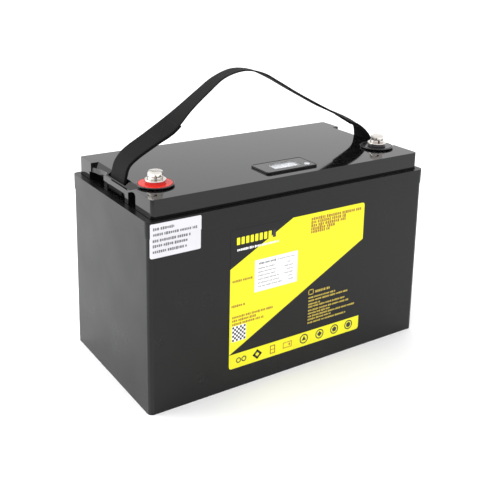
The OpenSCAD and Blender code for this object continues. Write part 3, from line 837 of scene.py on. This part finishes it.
def eased(outline, radii):
    """The outline with each corner rounded by its radius."""
    made, n = [], len(outline)
    for i, r in enumerate(radii):
        corner = Vector(outline[i])
        if not r:
            made.append(tuple(corner))
            continue
        before = corner + (Vector(outline[i - 1]) - corner).normalized() * r
        after = corner + (Vector(outline[(i + 1) % n]) - corner).normalized() * r
        for s in range(EASE_STEPS + 1):
            t = s / EASE_STEPS
            made.append(tuple(before * (1 - t) ** 2 + corner * 2 * t * (1 - t) + after * t * t))
    return made


INKS = {
    "yellow": ink("ink_yellow", (0.79, 0.75, 0.017), 0.35, ior=1.35),
    "white": ink("ink_white", (0.90, 0.90, 0.90), 0.40),
    "grey": ink("ink_grey", (0.30, 0.30, 0.31), 0.45),
    "slate": ink("ink_slate", (0.13, 0.13, 0.135), 0.45),
    "dark": ink("ink_dark", (0.020, 0.020, 0.018), 0.40),
    "brown": ink("ink_brown", (0.34, 0.15, 0.012), 0.40),
    "orange": ink("ink_orange", (0.50, 0.24, 0.015), 0.40),
    "gold": ink("ink_gold", (0.48, 0.36, 0.04), 0.40),
    "segment": ink("ink_segment", (0.42, 0.43, 0.46), 0.35),
}
INK_SLOTS = {"segment": "screen"}

# Print of the front label, in X and Z on the face of the case.
# The large field's lower edge runs from FIELD_LEFT's first height up to FIELD_RIGHT, and its
# upper edge from FIELD_LEFT's second height up to the label's top at FIELD_PEAK.
LABEL_R = 3.5
BAND_TOP = 36.3
FIELD_LEFT = (36.5, 124.8)
FIELD_RIGHT = 123.4
FIELD_PEAK = -8.0

TABLE = (-51.9, 95.3, -1.2, 128.2)
TABLE_HEAD = 124.0
SPEC_TOP = 119.0
SPEC_PITCH = 3.75
LINE_H = 1.4
# Start and end of the left column, then of the right one.
SPEC_ROWS = [
    (-48.2, -28.0, -13.4, -9.8), (-48.0, -27.0, -17.0, -6.3), (-48.3, -28.4, -13.9, -6.6),
    (-48.2, -22.6, -17.1, -6.0), (-48.1, -22.5, -11.9, -7.2), (-48.0, -19.8, -11.7, -6.2),
]

BLOCKS = 9
BLOCK_AT = (-72.8, 148.0)
BLOCK = (3.6, 7.2)
BLOCK_R = 0.6
BLOCK_PITCH = 5.1

# Height and end of each row, and for SIDE_ROWS start, end and height.
TOP_LEFT = 14.4
TOP_ROWS = [(157.4, 78.7), (153.9, 60.0), (150.4, 58.6), (147.0, 46.0), (143.8, 39.4)]
NOTE_LEFT = 14.6
NOTE_MARK = (14.6, 76.6, 20.4, 81.6)
NOTE_ROWS = [
    (73.0, 49.0), (69.5, 66.2), (65.8, 29.6), (62.9, 62.3), (58.9, 68.0),
    (55.6, 44.0), (52.3, 76.0), (49.0, 44.4), (45.3, 64.4),
]
SIDE_ROWS = [(-77.0, -53.8, 111.8), (-77.7, -62.6, 86.4), (-76.7, -29.5, 74.8),
             (-76.6, -48.5, 71.2), (-76.5, -40.1, 67.5)]

SQUARE_AT = (-76.4, 49.9)
SQUARE = 15.2
SQUARE_COUNT = 7
SQUARE_BORDER = 0.5

# DIAMOND holds its middle, half its width and half its height. The sizes of rings are outer and
# inner radius.
MARK_V = 28.6
TWIN_RINGS = (-68.6, -62.4)
TWIN_SIZE = (2.9, 1.8)
DIAMOND = (-46.7, 4.0, 3.8)
BADGES = (10.6, 30.8, 50.4, 69.5)
BADGE_V = 29.1
BADGE_SIZE = (5.3, 4.1)
BADGE_R = 3.2


def print_ground(sheet, left, right, low, high):
    """The two yellow fields of the front label."""
    foot, shoulder = FIELD_LEFT
    field = [(left, foot), (right, FIELD_RIGHT), (right, high), (FIELD_PEAK, high), (left, shoulder)]
    sheet.prism("yellow", eased(field, [0, 0, LABEL_R, 0, 0]))
    sheet.prism("yellow", eased(corners(left, low, right, BAND_TOP), [LABEL_R, LABEL_R, 0, 0]))


def print_table(sheet):
    """White panel with a heading and two columns of small print."""
    sheet.box("white", *TABLE, 2)
    sheet.words("slate", -47.5, -27.4, TABLE_HEAD, 2.0, 3, 1)
    sheet.words("grey", -25.8, -5.0, TABLE_HEAD, 1.1, 3, 2)
    for i, (a, b, c, d) in enumerate(SPEC_ROWS):
        v = SPEC_TOP - SPEC_PITCH * i
        sheet.words("grey", a, b, v, LINE_H, 3, 10 + i)
        sheet.words("grey", c, d, v, LINE_H, 3, 20 + i)


def print_heading(sheet):
    """Plain blocks over a row of small print. The last block lies on yellow, so it is dark."""
    left, low = BLOCK_AT
    width, height = BLOCK
    for i in range(BLOCKS):
        u = left + i * BLOCK_PITCH
        ink_name = "dark" if i == BLOCKS - 1 else "yellow"
        sheet.box(ink_name, u, low, u + width, low + height, 2, BLOCK_R)
    sheet.words("white", -72.1, -24.1, 142.8, 2.1, 2, 5)


def print_notes(sheet):
    """Rows of small print on the yellow and on the black ground."""
    for i, (v, end) in enumerate(TOP_ROWS):
        sheet.words("brown", TOP_LEFT, end, v, 3.0, 2, 30 + i)
    for i, (start, end, v) in enumerate(SIDE_ROWS):
        sheet.words("brown", start, end, v, 2.3, 2, 40 + i)
    sheet.loop("gold", corners(*NOTE_MARK), 1.0, 2)
    sheet.words("gold", 23.0, 42.7, 78.4, 2.6, 2, 50)
    for i, (v, end) in enumerate(NOTE_ROWS):
        sheet.words("gold", NOTE_LEFT, end, v, 1.8, 2, 51 + i)


def print_squares(sheet):
    """A plain chequered square with a white border."""
    left, low = SQUARE_AT
    out = SQUARE + SQUARE_BORDER
    sheet.box("white", left - SQUARE_BORDER, low - SQUARE_BORDER, left + out, low + out, 2)
    cell = SQUARE / SQUARE_COUNT
    for i in range(SQUARE_COUNT):
        for j in range(SQUARE_COUNT):
            if (i + j) % 2 == 0:
                u, v = left + i * cell, low + j * cell
                sheet.box("dark", u, v, u + cell, v + cell, 3)


def print_marks(sheet):
    """A row of eight plain marks along the lower band."""
    for u in TWIN_RINGS:
        sheet.ring("dark", u, MARK_V, *TWIN_SIZE, 2)
    u, wide, tall = DIAMOND
    diamond = [(u, MARK_V - tall), (u + wide, MARK_V), (u, MARK_V + tall), (u - wide, MARK_V)]
    sheet.loop("dark", diamond, 2.2, 2)
    sheet.loop("brown", corners(-31.0, 24.6, -25.8, 32.6), 1.0, 2)
    sheet.stroke("orange", (-30.4, MARK_V), (-26.4, MARK_V), 1.0, 2)
    sheet.loop("orange", corners(-15.2, 25.8, -5.2, 31.4), 0.9, 2)
    sheet.box("brown", -8.6, 27.4, -6.8, 29.8, 2)
    for i, u in enumerate(BADGES):
        print_badge(sheet, u, 3 + i)


def print_badge(sheet, u, count):
    """A ring round a polygon with count corners."""
    sheet.ring("dark", u, BADGE_V, *BADGE_SIZE, 2)
    angles = [math.radians(90 + 360 * j / count) for j in range(count)]
    polygon = [(u + BADGE_R * math.cos(a), BADGE_V + BADGE_R * math.sin(a)) for a in angles]
    sheet.prism("dark", polygon, 2)


def build_front_print():
    """All the print of the front label."""
    low, high = node_box("front_label")
    sheet = Sheet("front_print", (0, low.y, 0), (1, 0, 0), (0, 0, 1))
    print_ground(sheet, low.x, high.x, low.z, high.z)
    print_heading(sheet)
    print_table(sheet)
    print_notes(sheet)
    print_squares(sheet)
    print_marks(sheet)
    sheet.done("battery")


# Height and length of each row. Rows above CORNER_STEP lie on the band.
CORNER_ROWS = [(180.4, 20.6), (175.2, 44.0), (169.2, 38.5), (164.4, 34.6), (159.0, 33.7)]
CORNER_STEP = 172
CORNER_LEFT = 2.4
CORNER_H = 2.4


def build_corner_print():
    """Rows of print on the small label. Its upper part lies on the band, further out."""
    low = node_box("corner_label")[0]
    inner = node_box("front_label")[0].y
    upper = Sheet("corner_print_top", (0, low.y, 0), (1, 0, 0), (0, 0, 1))
    lower = Sheet("corner_print_low", (0, inner, 0), (1, 0, 0), (0, 0, 1))
    left = low.x + CORNER_LEFT
    for i, (v, length) in enumerate(CORNER_ROWS):
        sheet = upper if v > CORNER_STEP else lower
        sheet.words("slate", left, left + length, v, CORNER_H, 1, 70 + i)
    upper.done("battery")
    lower.done("battery")


DIGIT = (3.6, 7.0)
DIGIT_PITCH = 6.4
DIGITS_AT = -3
SEGMENT_W = 0.7
SEGMENT_GAP = 0.7
BAR = (8.4, -3.6, 12.6, -2.2)
BAR_PITCH = 1.9


def build_screen_digits():
    """Three unlit seven-segment digits and a row of charge bars, barely darker than the screen."""
    face_low, face_high = node_box("display_screen")
    middle = (face_low + face_high) / 2
    sheet = Sheet("screen", (middle.x, middle.y, face_high.z), (1, 0, 0), (0, 1, 0))
    w, h = DIGIT
    flat = w / 2 - SEGMENT_GAP
    upright = h / 4 - SEGMENT_GAP
    for i in range(3):
        u = (i - 1) * DIGIT_PITCH + DIGITS_AT
        for v in (-h / 2, 0, h / 2):
            sheet.stroke("segment", (u - flat, v), (u + flat, v), SEGMENT_W)
        for x in (u - w / 2, u + w / 2):
            for v in (-h / 4, h / 4):
                sheet.stroke("segment", (x, v - upright), (x, v + upright), SEGMENT_W)
    left, low, right, high = BAR
    for i in range(4):
        up = BAR_PITCH * i
        sheet.box("segment", left, low + up, right, high + up)
    sheet.done("battery")


# ---- Scene ----

CAMERA_AT = Vector((-0.4581, -0.6785, 0.4347))
CAMERA_RIGHT = Vector((0.8336, -0.5520, 0.0206))
CAMERA_UP = Vector((0.1141, 0.2086, 0.9713))
LENS = 58.45
LENS_SHIFT = -0.2474
CLIP_START = 0.01
# The lens shift holds up to this distance from CAMERA_AT, and is gone by the next one.
HELD_TO = 0.05
GONE_BY = 0.1


def make_camera():
    """The camera at the viewing angle, with its lens shift."""
    data = bpy.data.cameras.new("camera")
    data.lens = LENS
    data.sensor_width = 36
    data.clip_start = CLIP_START
    camera = bpy.data.objects.new("camera", data)
    back = CAMERA_RIGHT.cross(CAMERA_UP)
    camera.matrix_world = Matrix.Translation(CAMERA_AT) @ Matrix(
        (CAMERA_RIGHT, CAMERA_UP, back)).transposed().to_4x4()
    bpy.context.scene.collection.objects.link(camera)
    bpy.context.scene.camera = camera
    shift_from_here(camera)


def shift_from_here(camera):
    """Keeps the lens shift at this viewpoint only: moved away, the lens is centred."""
    spot = bpy.data.objects.new("viewpoint", None)
    spot.location = camera.location
    bpy.context.scene.collection.objects.link(spot)
    curve = camera.data.driver_add("shift_y")
    curve.driver.type = "SUM"
    distance = curve.driver.variables.new()
    distance.type = "LOC_DIFF"
    distance.targets[0].id = camera
    distance.targets[1].id = spot
    for modifier in list(curve.modifiers):
        curve.modifiers.remove(modifier)
    keys = ((-0.1, LENS_SHIFT), (HELD_TO, LENS_SHIFT), (GONE_BY, 0.0), (10.0, 0.0))
    for metres, shift in keys:
        key = curve.keyframe_points.insert(metres, shift)
        key.interpolation = "LINEAR"


WORLD_DIFFUSE = 1.5
WORLD_GLOSSY = 1.12
FLOOR_HALF = 12
LIGHT_AT = Vector((-1.1, 0.9, 0.9))
LIGHT_AIM = Vector((-0.5, 0.4, 0.0))
LIGHT_SIZE = 1.2
LIGHT_POWER = 12


def make_world():
    """White surroundings, a little dimmer in reflections than as light."""
    world = bpy.data.worlds.new("studio")
    world.use_nodes = True
    back = world.node_tree.nodes["Background"]
    back.inputs["Color"].default_value = (1, 1, 1, 1)
    path = world.node_tree.nodes.new("ShaderNodeLightPath")
    strength = world.node_tree.nodes.new("ShaderNodeMapRange")
    strength.inputs["To Min"].default_value = WORLD_DIFFUSE
    strength.inputs["To Max"].default_value = WORLD_GLOSSY
    world.node_tree.links.new(path.outputs["Is Glossy Ray"], strength.inputs["Value"])
    world.node_tree.links.new(strength.outputs["Result"], back.inputs["Strength"])
    bpy.context.scene.world = world
    bpy.context.scene.view_settings.view_transform = "Standard"


def make_floor():
    """A wide pale floor."""
    k = Kit("floor_white")
    k.set({"Base Color": (0.95, 0.95, 0.96), "Roughness": k.span(k.noise(30, 2), 0.75, 0.85)})
    outline = corners(-FLOOR_HALF, -FLOOR_HALF, FLOOR_HALF, FLOOR_HALF)
    mesh = bpy.data.meshes.new("floor")
    mesh.from_pydata([(x, y, 0) for x, y in outline], [], [(0, 1, 2, 3)])
    mesh.materials.append(k.material)
    floor = bpy.data.objects.new("floor", mesh)
    bpy.context.scene.collection.objects.link(floor)


def make_light():
    """One soft square light, from behind on the left."""
    data = bpy.data.lights.new("left_box", "AREA")
    data.shape = "RECTANGLE"
    data.size = data.size_y = LIGHT_SIZE
    data.energy = LIGHT_POWER
    light = bpy.data.objects.new("left_box", data)
    light.location = LIGHT_AT
    light.rotation_mode = "QUATERNION"
    light.rotation_quaternion = (LIGHT_AIM - LIGHT_AT).to_track_quat("-Z", "Y")
    bpy.context.scene.collection.objects.link(light)


paint_frame()
for node_name, edge_width in EDGE_WIDTHS.items():
    round_edges(node_name, edge_width)
build_webbing()
build_stitches()
build_bolt("positive")
build_bolt("negative")
build_front_print()
build_corner_print()
build_screen_digits()
make_camera()
make_world()
make_floor()
make_light()
